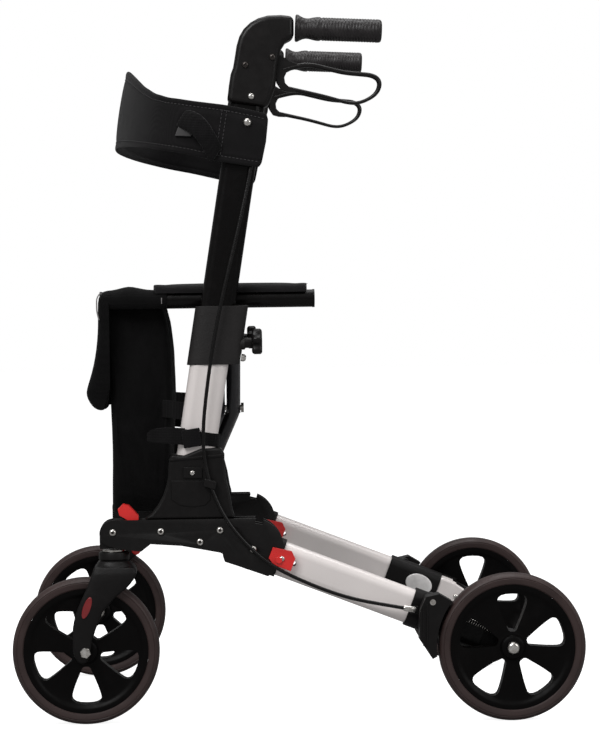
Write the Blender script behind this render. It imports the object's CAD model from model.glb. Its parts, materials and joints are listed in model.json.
import json
from math import atan2, cos, hypot, pi, radians, sin, tan, tau

import bpy
from bpy.props import FloatProperty, FloatVectorProperty, PointerProperty
from bpy.types import Operator, Panel, PropertyGroup
from mathutils import Matrix, Vector

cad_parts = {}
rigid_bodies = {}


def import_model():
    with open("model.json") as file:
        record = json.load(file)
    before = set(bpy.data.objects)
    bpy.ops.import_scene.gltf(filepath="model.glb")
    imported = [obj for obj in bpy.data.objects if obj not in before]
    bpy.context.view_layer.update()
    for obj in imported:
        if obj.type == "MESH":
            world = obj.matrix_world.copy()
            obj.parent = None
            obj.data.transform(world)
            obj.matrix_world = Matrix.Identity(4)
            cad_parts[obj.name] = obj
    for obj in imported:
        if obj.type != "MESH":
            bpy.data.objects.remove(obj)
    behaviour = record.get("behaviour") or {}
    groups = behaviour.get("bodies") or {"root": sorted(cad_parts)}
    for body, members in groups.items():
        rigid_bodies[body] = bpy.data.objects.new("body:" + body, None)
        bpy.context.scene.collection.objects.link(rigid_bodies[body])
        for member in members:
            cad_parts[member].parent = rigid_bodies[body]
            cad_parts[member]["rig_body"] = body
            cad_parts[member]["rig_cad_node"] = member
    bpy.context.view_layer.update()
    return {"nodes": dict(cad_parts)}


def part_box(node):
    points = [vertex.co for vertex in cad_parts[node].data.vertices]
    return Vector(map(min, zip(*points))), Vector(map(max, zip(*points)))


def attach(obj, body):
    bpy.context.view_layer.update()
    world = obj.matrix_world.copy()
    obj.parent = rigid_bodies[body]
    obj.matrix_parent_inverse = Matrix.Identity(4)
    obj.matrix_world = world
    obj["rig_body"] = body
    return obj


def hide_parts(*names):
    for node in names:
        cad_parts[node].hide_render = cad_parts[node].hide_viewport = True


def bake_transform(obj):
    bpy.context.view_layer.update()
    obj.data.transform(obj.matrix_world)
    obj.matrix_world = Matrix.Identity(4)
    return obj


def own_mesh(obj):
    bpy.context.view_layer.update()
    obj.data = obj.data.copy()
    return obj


# The looks of a side-folding rollator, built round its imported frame. The object is in metres;
# shapes given as side-view points are in millimetres, X to the rear and Z up. Left-hand pieces
# are modelled on the -Y side and mirrored.

bl_info = {
    "name": "Side-folding rollator",
    "version": (1, 0, 0),
    "blender": (4, 5, 0),
    "location": "View3D > Sidebar > Rollator",
    "description": "Wheels, mouldings, soft goods, cables and finishes of a folding rollator",
    "category": "Add Mesh",
}

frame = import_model()
NODES = frame["nodes"]

MM = 0.001
SIDES = ("left", "right")
MIRROR_Y = Matrix.Scale(-1.0, 4, (0.0, 1.0, 0.0))


def node_centre(name):
    low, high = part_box(name)
    return (low + high) / 2


SIDE_Y = abs(node_centre("front_tyre_left").y) / MM      # middle plane of a side frame
REAR_Y = abs(node_centre("rear_tyre_left").y) / MM
AXLE = node_centre("rear_tyre_left").x / MM
AXLE_Z = node_centre("rear_tyre_left").z / MM
RAIL = node_centre("seat_rail_left") / MM
RAIL_Y = abs(RAIL.y)
PLATE_OUT = abs(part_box("side_plates_left")[0].y) / MM
LEG_PIVOT = (-60.0, 236.0)
LEG_DROP = atan2(LEG_PIVOT[1] - AXLE_Z, AXLE - LEG_PIVOT[0])
LEG_LEN = hypot(LEG_PIVOT[1] - AXLE_Z, AXLE - LEG_PIVOT[0])
TILT = radians(9.2)                                      # lean of the uprights
UPRIGHT_AT = (-118.0, 475.5)
STRAP_Z = 388.0                                          # height of the folding strap
CASTER_X = -249.2                                        # swivel axis of a caster
COVER_REACH = 13.6                                      # cover's distance from a rail's centre
RAIL_HOLD = 0.75                                         # share of the cover's half between rails
CLOTH_EDGE = 12.5                                        # sling's reach past a rail's centre
FINISHES = {}                                            # slot name to painted material


class RollatorSizes(PropertyGroup):
    """Sizes of the details that a user may change."""
    tread_groove: FloatProperty(
        name="Tread groove", description="Depth of the grooves round each tyre",
        default=0.0011, min=0.0, max=0.004, unit="LENGTH")
    weave: FloatProperty(
        name="Weave", description="Distance between the threads of the fabrics",
        default=0.0017, min=0.0005, max=0.005, unit="LENGTH")
    stitch: FloatProperty(
        name="Stitch", description="Distance between stitches along a seam",
        default=0.0052, min=0.002, max=0.02, unit="LENGTH")
    swell: FloatProperty(
        name="Swell", description="How far the padding may swell out of its seams",
        default=0.0035, min=0.0, max=0.02, unit="LENGTH")
    cable: FloatProperty(
        name="Cable", description="Diameter of a brake cable",
        default=0.005, min=0.002, max=0.01, unit="LENGTH")
    seat_dip: FloatProperty(
        name="Seat dip", description="How far the seat's middle hangs below its rails",
        default=0.009, min=0.0, max=0.05, unit="LENGTH")


class RollatorColours(PropertyGroup):
    """Colours of the finishes that a user may change."""
    pearl: FloatVectorProperty(
        name="Tube paint", description="Pearl paint of the outer tubes", size=3,
        default=(0.84, 0.78, 0.76), min=0.0, max=1.0, subtype="COLOR")
    plastic: FloatVectorProperty(
        name="Black plastic", description="Mouldings and plates", size=3,
        default=(0.0036, 0.003, 0.003), min=0.0, max=1.0, subtype="COLOR")
    accent: FloatVectorProperty(
        name="Levers", description="Release levers", size=3,
        default=(0.78, 0.024, 0.022), min=0.0, max=1.0, subtype="COLOR")
    rubber: FloatVectorProperty(
        name="Rubber", description="Tyres", size=3,
        default=(0.026, 0.0155, 0.0145), min=0.0, max=1.0, subtype="COLOR")
    cloth: FloatVectorProperty(
        name="Cloth", description="Seat, bag and backrest", size=3,
        default=(0.0046, 0.0043, 0.0046), min=0.0, max=1.0, subtype="COLOR")


def sizes():
    return bpy.context.scene.rollator_sizes


def colours():
    return bpy.context.scene.rollator_colours


# ---- modelling ----

def object_mode():
    active = bpy.context.view_layer.objects.active
    if active and active.mode != "OBJECT":
        bpy.ops.object.mode_set(mode="OBJECT")


def choose(*objs):
    """Selects these objects only, the first of them active."""
    object_mode()
    bpy.ops.object.select_all(action="DESELECT")
    for obj in objs:
        obj.select_set(True)
    bpy.context.view_layer.objects.active = objs[0] if objs else None
    return objs[0] if objs else None


def open_mesh(obj):
    """Edit mode with all of the mesh selected."""
    choose(obj)
    bpy.ops.object.mode_set(mode="EDIT")
    bpy.ops.mesh.select_all(action="SELECT")


def close_mesh(obj):
    """Merges doubles, turns the faces outwards and leaves edit mode."""
    bpy.ops.mesh.select_all(action="SELECT")
    bpy.ops.mesh.remove_doubles(threshold=1e-6)
    bpy.ops.mesh.normals_make_consistent(inside=False)
    bpy.ops.object.mode_set(mode="OBJECT")
    return obj


def apply_all(obj):
    choose(obj)
    for modifier in list(obj.modifiers):
        bpy.ops.object.modifier_apply(modifier=modifier.name)
    return obj


def smooth(obj, angle=38.0):
    choose(obj)
    bpy.ops.object.shade_smooth_by_angle(angle=radians(angle))
    return obj


def round_edges(obj, width, segments=2, angle=32.0):
    """Rounds the sharp edges; width is in millimetres."""
    bevel = obj.modifiers.new("Rounded edges", "BEVEL")
    bevel.width = width * MM
    bevel.segments = segments
    bevel.limit_method = "ANGLE"
    bevel.angle_limit = radians(angle)
    apply_all(obj)
    smooth(obj)
    flat = obj.modifiers.new("Flat faces stay flat", "WEIGHTED_NORMAL")
    flat.keep_sharp = True
    return apply_all(obj)


def subdivided(obj, level=1):
    surface = obj.modifiers.new("Smooth surface", "SUBSURF")
    surface.levels = level
    surface.render_levels = level
    apply_all(obj)
    choose(obj)
    bpy.ops.object.shade_smooth()
    return obj


def thickened(obj, thickness, offset=0.0):
    wall = obj.modifiers.new("Wall", "SOLIDIFY")
    wall.thickness = thickness * MM
    wall.offset = offset
    return apply_all(obj)


def block(points, inner, outer, edge=1.0, segments=2):
    """A side-view outline given thickness between two distances left of the middle plane."""
    choose()
    bpy.ops.mesh.primitive_circle_add(vertices=len(points), radius=0.01, fill_type="NGON")
    obj = bpy.context.object
    for vertex, (x, z) in zip(obj.data.vertices, points):
        vertex.co = (x * MM, -inner * MM, z * MM)
    open_mesh(obj)
    bpy.ops.mesh.extrude_region_move(
        TRANSFORM_OT_translate={"value": (0.0, -(outer - inner) * MM, 0.0)})
    close_mesh(obj)
    return round_edges(obj, edge, segments) if edge else smooth(obj)


def turned(profile, centre, axis, steps=64):
    """A closed profile of (radius, along) pairs spun about an axis through centre."""
    axis = Vector(axis).normalized()
    out = axis.orthogonal().normalized()
    centre = Vector(centre) * MM
    choose()
    bpy.ops.mesh.primitive_circle_add(vertices=len(profile), radius=0.01, fill_type="NOTHING")
    obj = bpy.context.object
    for vertex, (radius, along) in zip(obj.data.vertices, profile):
        vertex.co = centre + (out * radius + axis * along) * MM
    open_mesh(obj)
    bpy.ops.mesh.spin(steps=steps, angle=tau, center=centre, axis=axis)
    close_mesh(obj)
    return smooth(obj, 32.0)


def skin(rows, closed=False, capped=False):
    """A surface through rows of points; closed joins each row into a ring."""
    count = len(rows[0]) + (1 if closed else 0)
    choose()
    bpy.ops.mesh.primitive_grid_add(
        x_subdivisions=count - 1, y_subdivisions=len(rows) - 1, size=0.01)
    obj = bpy.context.object
    for j, row in enumerate(rows):
        for i in range(count):
            obj.data.vertices[j * count + i].co = Vector(row[i % len(row)]) * MM
    open_mesh(obj)
    bpy.ops.mesh.remove_doubles(threshold=1e-6)
    if capped:
        bpy.ops.mesh.fill_holes(sides=0)
    return smooth(close_mesh(obj), 60.0)


def rod(points, radius, widths=None, order=3, fine=5):
    """A round bar along a smooth line, its ends closed."""
    choose()
    bpy.ops.curve.primitive_nurbs_path_add()
    curve = bpy.context.object
    curve.data.splines.clear()
    line = curve.data.splines.new("NURBS")
    line.points.add(len(points) - 1)
    for i, (point, place) in enumerate(zip(line.points, points)):
        point.co = (*(Vector(place) * MM), 1.0)
        point.radius = widths[i] if widths else 1.0
    line.order_u = order
    line.use_endpoint_u = True
    line.resolution_u = fine
    curve.data.bevel_depth = radius * MM
    curve.data.bevel_resolution = 4
    curve.data.use_fill_caps = True
    choose(curve)
    bpy.ops.object.convert(target="MESH")
    obj = bpy.context.object
    open_mesh(obj)
    return smooth(close_mesh(obj), 50.0)


def limb(pairs, inner, depths):
    """A rounded bar through pairs of side-view points, as deep as each depth beyond inner."""
    rows = []
    for ((x0, z0), (x1, z1)), deep in zip(pairs, depths):
        row = []
        for k in range(20):
            a = tau * k / 20
            across, depth = squared(cos(a), 0.75), squared(sin(a), 0.75)
            row.append(((x0 + x1) / 2 + across * (x1 - x0) / 2,
                        -inner - deep / 2 - depth * deep / 2,
                        (z0 + z1) / 2 + across * (z1 - z0) / 2))
        rows.append(row)
    return skin(rows, closed=True, capped=True)


def cut_away(obj, cutter, what):
    """Takes the cutter's shape out of a piece and deletes the cutter."""
    cut = obj.modifiers.new(what, "BOOLEAN")
    cut.operation = "DIFFERENCE"
    cut.object = cutter
    apply_all(obj)
    bpy.data.objects.remove(cutter)
    return obj


def joined(*objs):
    choose(*objs)
    if len(objs) > 1:
        bpy.ops.object.join()
    return bpy.context.object


def moulded(voxel, rounds, *objs):
    """Fuses closed shapes into one moulding with soft joins."""
    obj = joined(*objs)
    obj.data.remesh_voxel_size = voxel * MM
    bpy.ops.object.voxel_remesh()
    ease = obj.modifiers.new("Soft joins", "SMOOTH")
    ease.factor = 0.5
    ease.iterations = rounds
    apply_all(obj)
    choose(obj)
    bpy.ops.object.shade_smooth()
    return obj


def from_node(name, edge=0.6, segments=2):
    """A copy of a CAD node with its edges rounded, for the piece that stands for it."""
    choose(NODES[name])
    bpy.ops.object.duplicate()
    obj = bpy.context.object
    obj.parent = None
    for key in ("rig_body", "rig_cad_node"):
        del obj[key]
    open_mesh(obj)
    bpy.ops.mesh.remove_doubles(threshold=2e-6)
    bpy.ops.mesh.dissolve_limited(angle_limit=radians(2.0))
    bpy.ops.mesh.select_all(action="SELECT")
    bpy.ops.object.mode_set(mode="OBJECT")
    return round_edges(obj, edge, segments, 40.0)


def place(obj, name, body, material, slot, stands_for=()):
    """Names and paints a finished piece and lets it ride on its body."""
    obj.name = name
    obj.data.name = name
    obj.data.materials.clear()
    obj.data.materials.append(FINISHES[material])
    if stands_for:
        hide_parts(*stands_for)
    if body:
        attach(obj, body)
    return obj


def both_sides(obj, name, body, material, slot, stands_for=()):
    """Places a left-hand piece and its mirrored twin. body is a body's name without its side."""
    choose(obj)
    bpy.ops.object.duplicate()
    twin = bpy.context.object
    twin.data.transform(MIRROR_Y)
    twin.data.flip_normals()
    return [
        place(piece, f"{name}_{side}", f"{body}_{side}" if body else None, material, slot,
              [f"{node}_{side}" for node in stands_for])
        for piece, side in ((obj, "left"), (twin, "right"))
    ]


def stitches(points, across=0.5, long=3.2):
    """A row of thread stitches along a line."""
    choose()
    bpy.ops.mesh.primitive_cylinder_add(vertices=6, radius=across * MM, depth=long * MM,
                                        location=(long * MM / 2, 0, 0), rotation=(0, pi / 2, 0))
    thread = bpy.context.object
    bpy.ops.object.transform_apply()
    bpy.ops.object.mode_set(mode="EDIT")
    bpy.ops.mesh.bevel(offset=across * 0.5 * MM, segments=1, affect="EDGES")
    bpy.ops.object.mode_set(mode="OBJECT")
    choose()
    bpy.ops.curve.primitive_nurbs_path_add()
    seam = bpy.context.object
    seam.data.splines.clear()
    line = seam.data.splines.new("POLY")
    line.points.add(len(points) - 1)
    for point, spot in zip(line.points, points):
        point.co = (*(Vector(spot) * MM), 1.0)
    row = thread.modifiers.new("Row", "ARRAY")
    row.fit_type = "FIT_CURVE"
    row.curve = seam
    row.use_relative_offset = False
    row.use_constant_offset = True
    row.constant_offset_displace = (sizes().stitch, 0, 0)
    along = thread.modifiers.new("Along", "CURVE")
    along.object = seam
    along.deform_axis = "POS_X"
    apply_all(thread)
    bpy.data.objects.remove(seam)
    return thread


def swollen(obj, pinned, pressure=4.0, frames=20):
    """Blows padding up between its seams with a short cloth simulation."""
    rest = [v.co.copy() for v in obj.data.vertices]
    seams = obj.vertex_groups.new(name="seams")
    seams.add(pinned, 1.0, "REPLACE")
    cloth = obj.modifiers.new("Cloth", "CLOTH")
    cloth.settings.use_pressure = True
    cloth.settings.uniform_pressure_force = pressure
    cloth.settings.effector_weights.gravity = 0.0
    cloth.settings.vertex_group_mass = seams.name
    cloth.point_cache.frame_start = 1
    cloth.point_cache.frame_end = frames
    for step in range(1, frames + 1):
        bpy.context.scene.frame_set(step)
    choose(obj)
    bpy.ops.object.modifier_apply(modifier=cloth.name)
    bpy.context.scene.frame_set(1)
    obj.vertex_groups.clear()
    cap = sizes().swell
    for vertex, start in zip(obj.data.vertices, rest):
        move = vertex.co - start
        if move.length > cap:
            vertex.co = start + move.normalized() * cap
    return obj


def squared(value, power):
    """A sine or cosine pushed towards its ends, for outlines between an oval and a box."""
    return abs(value) ** power * (1 if value > 0 else -1)


def turned_oval(centre, long, wide, angle, count):
    """Side-view points of an oval whose long axis is turned by an angle from X."""
    points = []
    for k in range(count):
        s, t = long * cos(tau * k / count), wide * sin(tau * k / count)
        points.append((centre[0] + s * cos(angle) + t * sin(angle),
                       centre[1] - s * sin(angle) + t * cos(angle)))
    return points


def wavy(a, b, c):
    """A smooth irregular value from -1 to 1, for creases and slack in cloth."""
    return (sin(a * 1.7 + 1.3 * sin(b * 0.9 + c)) + 0.6 * sin(b * 2.3 + 1.9 * sin(a * 0.7))
            + 0.4 * sin(a * 4.1 + b * 3.3 + c)) / 2.0


def between(x, table):
    """Linear interpolation in a table of (x, value) pairs in rising order."""
    if x <= table[0][0]:
        return table[0][1]
    for (x0, v0), (x1, v1) in zip(table, table[1:]):
        if x <= x1:
            return v0 + (v1 - v0) * (x - x0) / (x1 - x0)
    return table[-1][1]


def on_upright(along, shift=0.0):
    """Side-view point on the tilted upright's axis, shifted to the rear of it."""
    return (UPRIGHT_AT[0] + along * sin(TILT) + shift * cos(TILT),
            UPRIGHT_AT[1] + along * cos(TILT) - shift * sin(TILT))


def on_leg(along, rise=0.0):
    """Side-view point at a distance down the leg, raised square to it."""
    return (LEG_PIVOT[0] + along * cos(LEG_DROP) + rise * sin(LEG_DROP),
            LEG_PIVOT[1] - along * sin(LEG_DROP) + rise * cos(LEG_DROP))


def oval(wide, deep, at, y, count=28):
    """A ring of points round the upright, square to it."""
    points = []
    for k in range(count):
        x, z = on_upright(at, wide / 2 * cos(tau * k / count))
        points.append((x, -y + deep / 2 * sin(tau * k / count), z))
    return points


# ---- finishes ----

class Finish:
    """A material with a Principled shader and the nodes that vary it."""

    def __init__(self, name, colour, roughness, metallic=0.0, coat=0.0, coat_roughness=0.1,
                 sheen=0.0, specular=0.5):
        self.material = bpy.data.materials.new(f"{name}_finish")
        FINISHES[name] = self.material
        self.material.use_nodes = True
        self.tree = self.material.node_tree
        self.shader = self.tree.nodes["Principled BSDF"]
        self.colour = colour
        self.roughness = roughness
        self.height = None
        values = {"Base Color": (*colour, 1.0), "Roughness": roughness, "Metallic": metallic,
                  "Coat Weight": coat, "Coat Roughness": coat_roughness, "Sheen Weight": sheen,
                  "Specular IOR Level": specular}
        for socket, value in values.items():
            self.shader.inputs[socket].default_value = value
        self.place = self.tree.nodes.new("ShaderNodeTexCoord")

    def link(self, a, b):
        self.tree.links.new(a, b)

    def noise(self, scale, detail=3.0, stretch=None):
        node = self.tree.nodes.new("ShaderNodeTexNoise")
        node.inputs["Scale"].default_value = scale
        node.inputs["Detail"].default_value = detail
        self.link(self.mapped(stretch), node.inputs["Vector"])
        return node.outputs["Fac"]

    def mapped(self, stretch=None, turn=None):
        if stretch is None and turn is None:
            return self.place.outputs["Object"]
        node = self.tree.nodes.new("ShaderNodeMapping")
        node.inputs["Scale"].default_value = stretch or (1.0, 1.0, 1.0)
        node.inputs["Rotation"].default_value = turn or (0.0, 0.0, 0.0)
        self.link(self.place.outputs["Object"], node.inputs["Vector"])
        return node.outputs["Vector"]

    def cells(self, scale, stretch=None):
        node = self.tree.nodes.new("ShaderNodeTexVoronoi")
        node.inputs["Scale"].default_value = scale
        self.link(self.mapped(stretch), node.inputs["Vector"])
        return node.outputs["Distance"]

    def bands(self, direction, pitch, turn=None):
        """Parallel ridges across one axis, a pitch apart."""
        node = self.tree.nodes.new("ShaderNodeTexWave")
        node.bands_direction = direction
        node.inputs["Scale"].default_value = tau / 20.0 / pitch
        self.link(self.mapped(None, turn), node.inputs["Vector"])
        return node.outputs["Fac"]

    def sum(self, a, b, kind="ADD"):
        node = self.tree.nodes.new("ShaderNodeMath")
        node.operation = kind
        for socket, value in zip(node.inputs, (a, b)):
            if isinstance(value, (int, float)):
                socket.default_value = value
            else:
                self.link(value, socket)
        return node.outputs[0]

    def ranged(self, value, low, high, start=0.3, stop=0.7):
        node = self.tree.nodes.new("ShaderNodeMapRange")
        node.inputs["From Min"].default_value = start
        node.inputs["From Max"].default_value = stop
        node.inputs["To Min"].default_value = low
        node.inputs["To Max"].default_value = high
        self.link(value, node.inputs["Value"])
        return node.outputs["Result"]

    def tint(self, factor, colour, base=None):
        """Mixes the base colour towards another where factor is high."""
        node = self.tree.nodes.new("ShaderNodeMix")
        node.data_type = "RGBA"
        self.link(factor, node.inputs[0])
        if base is None:
            node.inputs[6].default_value = (*self.colour, 1.0)
        else:
            self.link(base, node.inputs[6])
        node.inputs[7].default_value = (*colour, 1.0)
        self.link(node.outputs[2], self.shader.inputs["Base Color"])
        return node.outputs[2]

    def gloss(self, value, spread):
        """Lets the roughness wander by a spread either side."""
        self.link(self.ranged(value, self.roughness - spread, self.roughness + spread),
                  self.shader.inputs["Roughness"])

    def bump(self, height, distance, strength=1.0):
        node = self.tree.nodes.new("ShaderNodeBump")
        node.inputs["Distance"].default_value = distance
        node.inputs["Strength"].default_value = strength
        self.link(height, node.inputs["Height"])
        if self.height is not None:
            self.link(self.height, node.inputs["Normal"])
        self.height = node.outputs["Normal"]
        self.link(self.height, self.shader.inputs["Normal"])


def scaled(colour, factor):
    return tuple(min(1.0, c * factor) for c in colour)


def paint_pearl():
    """Pearl paint with a fine flake under a clear coat."""
    finish = Finish("pearl_paint", tuple(colours().pearl), 0.34, 0.12, 0.4, 0.14)
    flake = finish.noise(2600.0, 1.0)
    drift = finish.noise(9.0, 2.0)
    tone = finish.tint(finish.ranged(drift, 0.0, 1.0), scaled(colours().pearl, 0.9))
    finish.tint(finish.ranged(flake, 0.0, 0.5, 0.5, 0.8), (0.86, 0.84, 0.84), tone)
    finish.gloss(finish.noise(60.0), 0.04)
    finish.bump(flake, 0.00004, 0.4)


def paint_black(name, roughness, coat, grain, depth, factor=1.0, shine=0.2):
    """Powder coat or moulded plastic: a fine pebbled grain with slight scuffs."""
    base = scaled(colours().plastic, factor)
    finish = Finish(name, base, roughness, 0.0, coat, 0.18, specular=shine)
    scuff = finish.noise(38.0, 5.0)
    finish.tint(finish.ranged(scuff, 0.0, 1.0, 0.55, 0.8), scaled(base, 1.9))
    finish.gloss(finish.noise(120.0, 4.0), 0.06)
    finish.bump(finish.cells(grain), depth, 0.5)
    finish.bump(finish.noise(grain * 2.2, 2.0), depth * 0.5, 0.5)


def paint_accent():
    finish = Finish("red_plastic", tuple(colours().accent), 0.33, 0.0, 0.2, 0.2)
    finish.tint(finish.ranged(finish.noise(45.0, 4.0), 0.0, 0.7), scaled(colours().accent, 0.62))
    finish.gloss(finish.noise(90.0), 0.06)
    finish.bump(finish.noise(900.0, 2.0), 0.00005, 0.5)


def paint_steel():
    finish = Finish("zinc_steel", (0.80, 0.78, 0.75), 0.26, 1.0)
    finish.tint(finish.ranged(finish.noise(180.0, 4.0), 0.0, 0.8), (0.36, 0.33, 0.30))
    finish.gloss(finish.noise(400.0, 3.0), 0.08)
    finish.bump(finish.noise(1500.0, 2.0), 0.00003, 0.4)


def paint_rubber():
    """Tyre rubber with a moulded side grain and a dusty bloom."""
    base = tuple(colours().rubber)
    finish = Finish("tyre_rubber", base, 0.5, 0.0, 0.0, specular=0.34)
    dust = finish.noise(26.0, 6.0)
    finish.tint(finish.ranged(dust, 0.0, 0.8), scaled(base, 1.7))
    finish.gloss(finish.noise(70.0, 4.0), 0.09)
    finish.bump(finish.cells(700.0), 0.00012, 0.5)
    finish.bump(finish.noise(260.0, 3.0), 0.0001, 0.4)


def paint_grip():
    """Soft grip with a knurl of crossed ridges."""
    finish = Finish("soft_grip", (0.008, 0.0065, 0.0068), 0.42, specular=0.36)
    ridge = finish.bands("X", 0.0034, (0.0, 0.0, radians(40.0)))
    cross = finish.bands("X", 0.0034, (0.0, 0.0, radians(-40.0)))
    knurl = finish.sum(ridge, cross, "MULTIPLY")
    finish.tint(finish.ranged(finish.noise(60.0, 5.0), 0.0, 0.9), (0.017, 0.0145, 0.015))
    finish.gloss(finish.noise(110.0, 3.0), 0.08)
    finish.bump(knurl, 0.0006, 0.7)
    finish.bump(finish.noise(800.0, 2.0), 0.00008, 0.5)


def paint_cloth(name, pitch, factor, sheen, slack):
    """Woven cloth: three crossing sets of threads, slight fading and creases."""
    base = scaled(colours().cloth, factor)
    finish = Finish(name, base, 0.86, sheen=sheen, specular=0.12)
    finish.shader.inputs["Sheen Roughness"].default_value = 0.45
    threads = finish.sum(finish.sum(finish.bands("X", pitch), finish.bands("Y", pitch)),
                         finish.bands("Z", pitch))
    fade = finish.noise(14.0, 5.0)
    tone = finish.tint(finish.ranged(fade, 0.0, 0.8), scaled(base, 1.6))
    finish.tint(finish.ranged(threads, 0.55, 0.0, 0.9, 1.9), scaled(base, 0.35), tone)
    finish.gloss(finish.noise(40.0), 0.06)
    finish.bump(finish.noise(slack, 3.0), 0.0012, 0.35)
    finish.bump(threads, pitch * 0.16, 0.7)


def paint_leather():
    """Grained sleeve of the clamp collar."""
    base = scaled(colours().plastic, 1.5)
    finish = Finish("grained_sleeve", base, 0.6, specular=0.35)
    pores = finish.cells(620.0, (1.0, 1.0, 0.75))
    finish.tint(finish.ranged(finish.noise(55.0, 5.0), 0.0, 0.8), scaled(base, 1.8))
    finish.gloss(finish.noise(80.0), 0.07)
    finish.bump(pores, 0.00025, 0.7)
    finish.bump(finish.noise(90.0, 4.0), 0.0004, 0.35)


def paint_plain(name, colour, roughness, metallic=0.0, coat=0.0, grain=700.0):
    finish = Finish(name, colour, roughness, metallic, coat, 0.2)
    finish.tint(finish.ranged(finish.noise(80.0, 4.0), 0.0, 0.8), scaled(colour, 0.7))
    finish.gloss(finish.noise(160.0, 3.0), 0.05)
    finish.bump(finish.noise(grain, 2.0), 0.00006, 0.5)


CAD_FINISHES = {
    "side_plates": "powder_black", "frame_bolts": "zinc_steel", "tower": "pebbled_black",
    "upright_tube": "pearl_paint", "collar": "grained_sleeve", "caster_block": "pebbled_black",
    "front_latch": "red_plastic", "leg_hub": "pebbled_black", "leg_tube": "pearl_paint",
    "leg_latch": "red_plastic", "brake_housing": "pebbled_black",
    "rear_hardware": "zinc_steel", "brake_arm": "pebbled_black", "fork": "pebbled_black",
    "fork_hardware": "zinc_steel", "inner_tube": "tube_black", "handle_bracket": "satin_black",
    "handle_bolts": "zinc_steel", "grip": "soft_grip", "brake_lever": "lever_black",
    "height_knob": "satin_black", "brake_cable": "cable_sheath", "front_tyre": "tyre_rubber",
    "front_rim": "rim_black", "rear_tyre": "tyre_rubber", "rear_rim": "rim_black",
    "cross_bar": "bar_black", "brace_pivot": "zinc_steel", "seat_rail": "tube_black",
    "seat_fabric": "seat_cloth", "bag": "bag_cloth", "backrest": "band_cloth",
}


class ROLLATOR_OT_finishes(Operator):
    """Makes every finish and paints the CAD pieces that stay"""
    bl_idname = "rollator.finishes"
    bl_label = "Finishes"

    def execute(self, context):
        paint_pearl()
        paint_accent()
        paint_steel()
        paint_rubber()
        paint_grip()
        paint_leather()
        paint_black("powder_black", 0.42, 0.15, 1500.0, 0.00006, 0.9)
        paint_black("pebbled_black", 0.46, 0.0, 900.0, 0.00014, 1.0)
        paint_black("satin_black", 0.4, 0.1, 1200.0, 0.00008, 1.2)
        paint_black("tube_black", 0.3, 0.08, 2200.0, 0.00002, 0.7, 0.12)
        paint_plain("bar_black", (0.022, 0.021, 0.025), 0.36, 0.3, 0.2)
        paint_black("lever_black", 0.36, 0.2, 1500.0, 0.00005, 1.3)
        paint_black("cable_sheath", 0.3, 0.2, 2500.0, 0.00002, 0.7)
        paint_black("rim_black", 0.4, 0.0, 1100.0, 0.00004, 0.5, 0.08)
        pitch = sizes().weave
        paint_cloth("seat_cloth", pitch, 1.6, 0.1, 30.0)
        paint_cloth("bag_cloth", pitch * 0.9, 0.5, 0.03, 22.0)
        paint_cloth("band_cloth", pitch * 0.8, 1.6, 0.07, 26.0)
        paint_cloth("webbing", pitch * 1.3, 1.0, 0.06, 60.0)
        paint_plain("dark_steel", (0.07, 0.062, 0.058), 0.3, 0.9)
        paint_plain("thread_grey", (0.05, 0.048, 0.05), 0.7)
        paint_plain("piping_grey", (0.22, 0.21, 0.21), 0.55)
        paint_plain("tab_grey", (0.045, 0.043, 0.044), 0.5)
        paint_plain("silver_plastic", (0.80, 0.78, 0.77), 0.35, 0.2, 0.3)
        paint_plain("reflector_red", (0.20, 0.003, 0.005), 0.16, 0.0, 0.6)
        for name, node in NODES.items():
            kind = name.rsplit("_", 1)[0] if name.rsplit("_", 1)[-1] in (
                "left", "right", "a", "b") else name
            material = FINISHES[CAD_FINISHES[kind]]
            if node.material_slots:
                for held in node.material_slots:
                    held.material = material
            else:
                node.data.materials.append(material)
        return {"FINISHED"}


# ---- wheels ----

def tyre_profile(groove):
    """Half of the tyre's section and its mirror image, as (radius, along) pairs."""
    half = [(84.8, 14.3), (86.2, 15.8), (90.0, 16.8), (92.8, 16.9), (93.6, 15.9), (94.6, 16.3),
            (96.6, 15.0), (98.4, 12.2), (99.4, 9.2), (99.7, 8.4), (99.6 - groove, 7.9),
            (99.6 - groove, 6.9), (99.8, 6.4), (100.0, 3.2), (99.9, 0.6), (99.9 - groove, 0.3)]
    return half + [(radius, -along) for radius, along in reversed(half)]


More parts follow.
